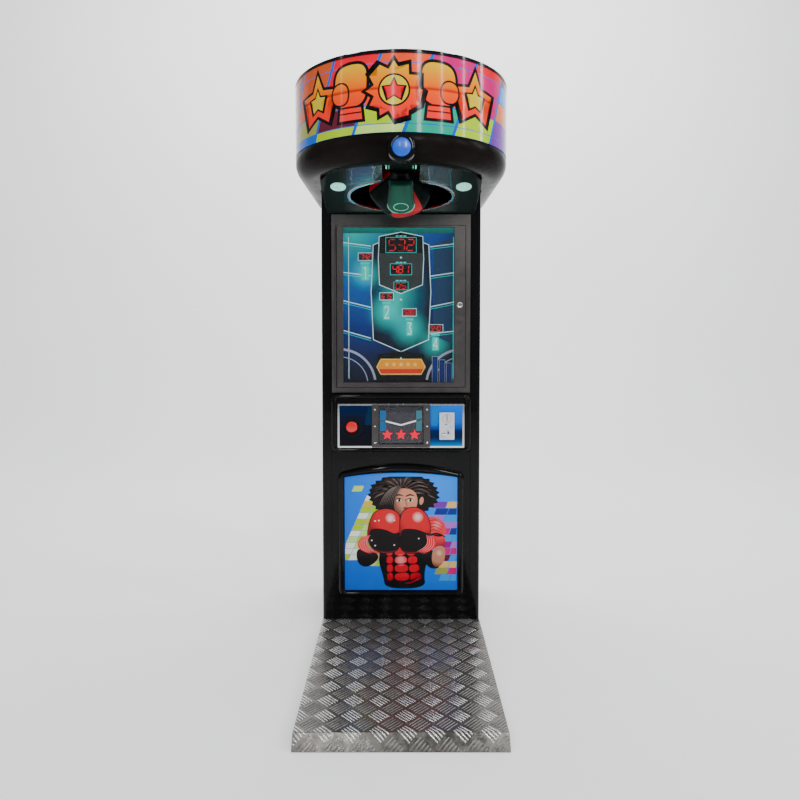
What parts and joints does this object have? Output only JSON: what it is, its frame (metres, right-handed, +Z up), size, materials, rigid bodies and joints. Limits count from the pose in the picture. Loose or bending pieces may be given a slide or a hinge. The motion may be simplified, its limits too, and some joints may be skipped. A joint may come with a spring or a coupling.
{
  "type": "boxing punch machine",
  "caption": "Free-standing arcade punch machine: column on a tread-plate platform, round lit head, swinging punch bag, glazed score display, prize flap and coin entry.",
  "frame": {"origin": "on the floor under the centre of the machine's bounding box", "axes": "+Z up, +X to the player's right, -Y towards the player"},
  "size_m": [0.82, 1.31, 2.195],
  "materials": {
    "frame_steel": "satin black",
    "tread_aluminium": "five-bar tread pattern, worn",
    "bright_steel": "brushed",
    "wheel_rubber": "matt",
    "black_gloss": "gloss",
    "black_moulding": "high gloss",
    "picture": "printed picture behind clear sheet",
    "control_face": "printed panel with silver edge",
    "gunmetal": "metallic grey",
    "door_glass": "clear",
    "flap_tint": "smoked",
    "red_plastic": "gloss",
    "coin_white": "gloss",
    "black_plastic": "matt",
    "score_art": "backlit print",
    "red_digits": "lit segments",
    "circuit_board": "satin",
    "marquee_art": "printed wrap, high gloss",
    "blue_lens": "gloss",
    "mirror_black": "mirror",
    "lamp_lens": "lit",
    "bag_leather": "red and black gores",
    "pad_leather": "gloss black"
  },
  "bodies": {
    "machine": {"base_rail_left": "frame_steel", "base_rail_right": "frame_steel", "base_cross": "frame_steel", "tread_plate": "tread_aluminium", "wheel_axle": "bright_steel", "wheel_carrier": "frame_steel", "side_panel_left": "black_gloss", "side_panel_right": "black_gloss", "floor_board": "black_gloss", "front_panel_lower": "black_gloss", "front_panel_middle": "black_gloss", "rear_panel": "black_gloss", "lower_bezel": "black_moulding", "lower_picture": "picture", "control_housing": "black_moulding", "control_plate": "control_face", "prize_frame": "gunmetal", "prize_chute": "bright_steel", "red_button_ring": "black_moulding", "coin_plate": "coin_white", "coin_mech": "black_plastic", "display_frame": "gunmetal", "display_case": "black_plastic", "score_board": "score_art", "display_module": "red_digits", "cash_box": "bright_steel", "control_board": "circuit_board", "power_supply": "bright_steel", "power_inlet": "black_plastic", "head_top_cover": "black_gloss", "marquee_panel": "marquee_art", "head_back_shell": "black_gloss", "head_skirt": "black_moulding", "start_button_housing": "black_moulding", "ceiling_panel": "mirror_black", "recess_ring": "bright_steel", "downlight_left": "lamp_lens", "downlight_right": "lamp_lens", "head_frame": "frame_steel", "latch_solenoid": "frame_steel", "stop_block": "wheel_rubber", "pivot_bracket": "bright_steel", "bearing_left": "bright_steel", "bearing_right": "bright_steel", "speed_sensor": "black_plastic"},
    "bag": {"pivot_shaft": "bright_steel", "punch_arm": "bright_steel", "bag_front_pad": "pad_leather", "bag_cover": "bag_leather"},
    "display_door": {"door_leaf": "gunmetal", "door_glass": "door_glass"},
    "display_lock": {"door_lock_cam": "bright_steel"},
    "start_button": {"start_button": "blue_lens"},
    "red_button": {"red_button": "red_plastic"},
    "coin_return": {"coin_return_button": "bright_steel"},
    "flap": {"prize_flap": "flap_tint"},
    "service_door": {"rear_door": "black_gloss"},
    "service_lock": {"rear_lock_cam": "bright_steel"},
    "left_wheel": {"wheel_left": "wheel_rubber"},
    "right_wheel": {"wheel_right": "wheel_rubber"}
  },
  "joints": [
    {"name": "bag_swing", "type": "hinge", "parent": "machine", "child": "bag", "pos_m": [0, -0.155, 1.868], "axis": [-1, 0, 0], "range_deg": [0, 60]},
    {"name": "display_door_swing", "type": "hinge", "parent": "machine", "child": "display_door", "pos_m": [-0.27, 0.141, 1.369], "axis": [0, 0, -1], "range_deg": [0, 110]},
    {"name": "display_lock_turn", "type": "hinge", "parent": "display_door", "child": "display_lock", "pos_m": [0.242, 0.143, 1.366], "axis": [0, -1, 0], "range_deg": [0, 90]},
    {"name": "start_button_press", "type": "slide", "parent": "machine", "child": "start_button", "axis": [0, 1, 0], "range_m": [0, 0.004], "stiffness_N_per_m": 500, "springref_m": -0.002},
    {"name": "red_button_press", "type": "slide", "parent": "machine", "child": "red_button", "axis": [0, 1, 0], "range_m": [0, 0.004], "stiffness_N_per_m": 500, "springref_m": -0.002},
    {"name": "coin_return_press", "type": "slide", "parent": "machine", "child": "coin_return", "axis": [0, 1, 0], "range_m": [0, 0.003], "stiffness_N_per_m": 400, "springref_m": -0.002},
    {"name": "prize_flap_swing", "type": "hinge", "parent": "machine", "child": "flap", "pos_m": [0, 0.1205, 0.943], "axis": [1, 0, 0], "range_deg": [0, 70]},
    {"name": "service_door_swing", "type": "hinge", "parent": "machine", "child": "service_door", "pos_m": [-0.2435, 0.6425, 0.95], "axis": [0, 0, 1], "range_deg": [0, 110]},
    {"name": "service_lock_turn", "type": "hinge", "parent": "service_door", "child": "service_lock", "pos_m": [0.214, 0.64, 0.95], "axis": [0, -1, 0], "range_deg": [0, 90]},
    {"name": "left_wheel_spin", "type": "hinge", "parent": "machine", "child": "left_wheel", "pos_m": [-0.276, 0.615, 0.048], "axis": [1, 0, 0], "continuous": true},
    {"name": "right_wheel_spin", "type": "hinge", "parent": "machine", "child": "right_wheel", "pos_m": [0.276, 0.615, 0.048], "axis": [1, 0, 0], "continuous": true}
  ]
}
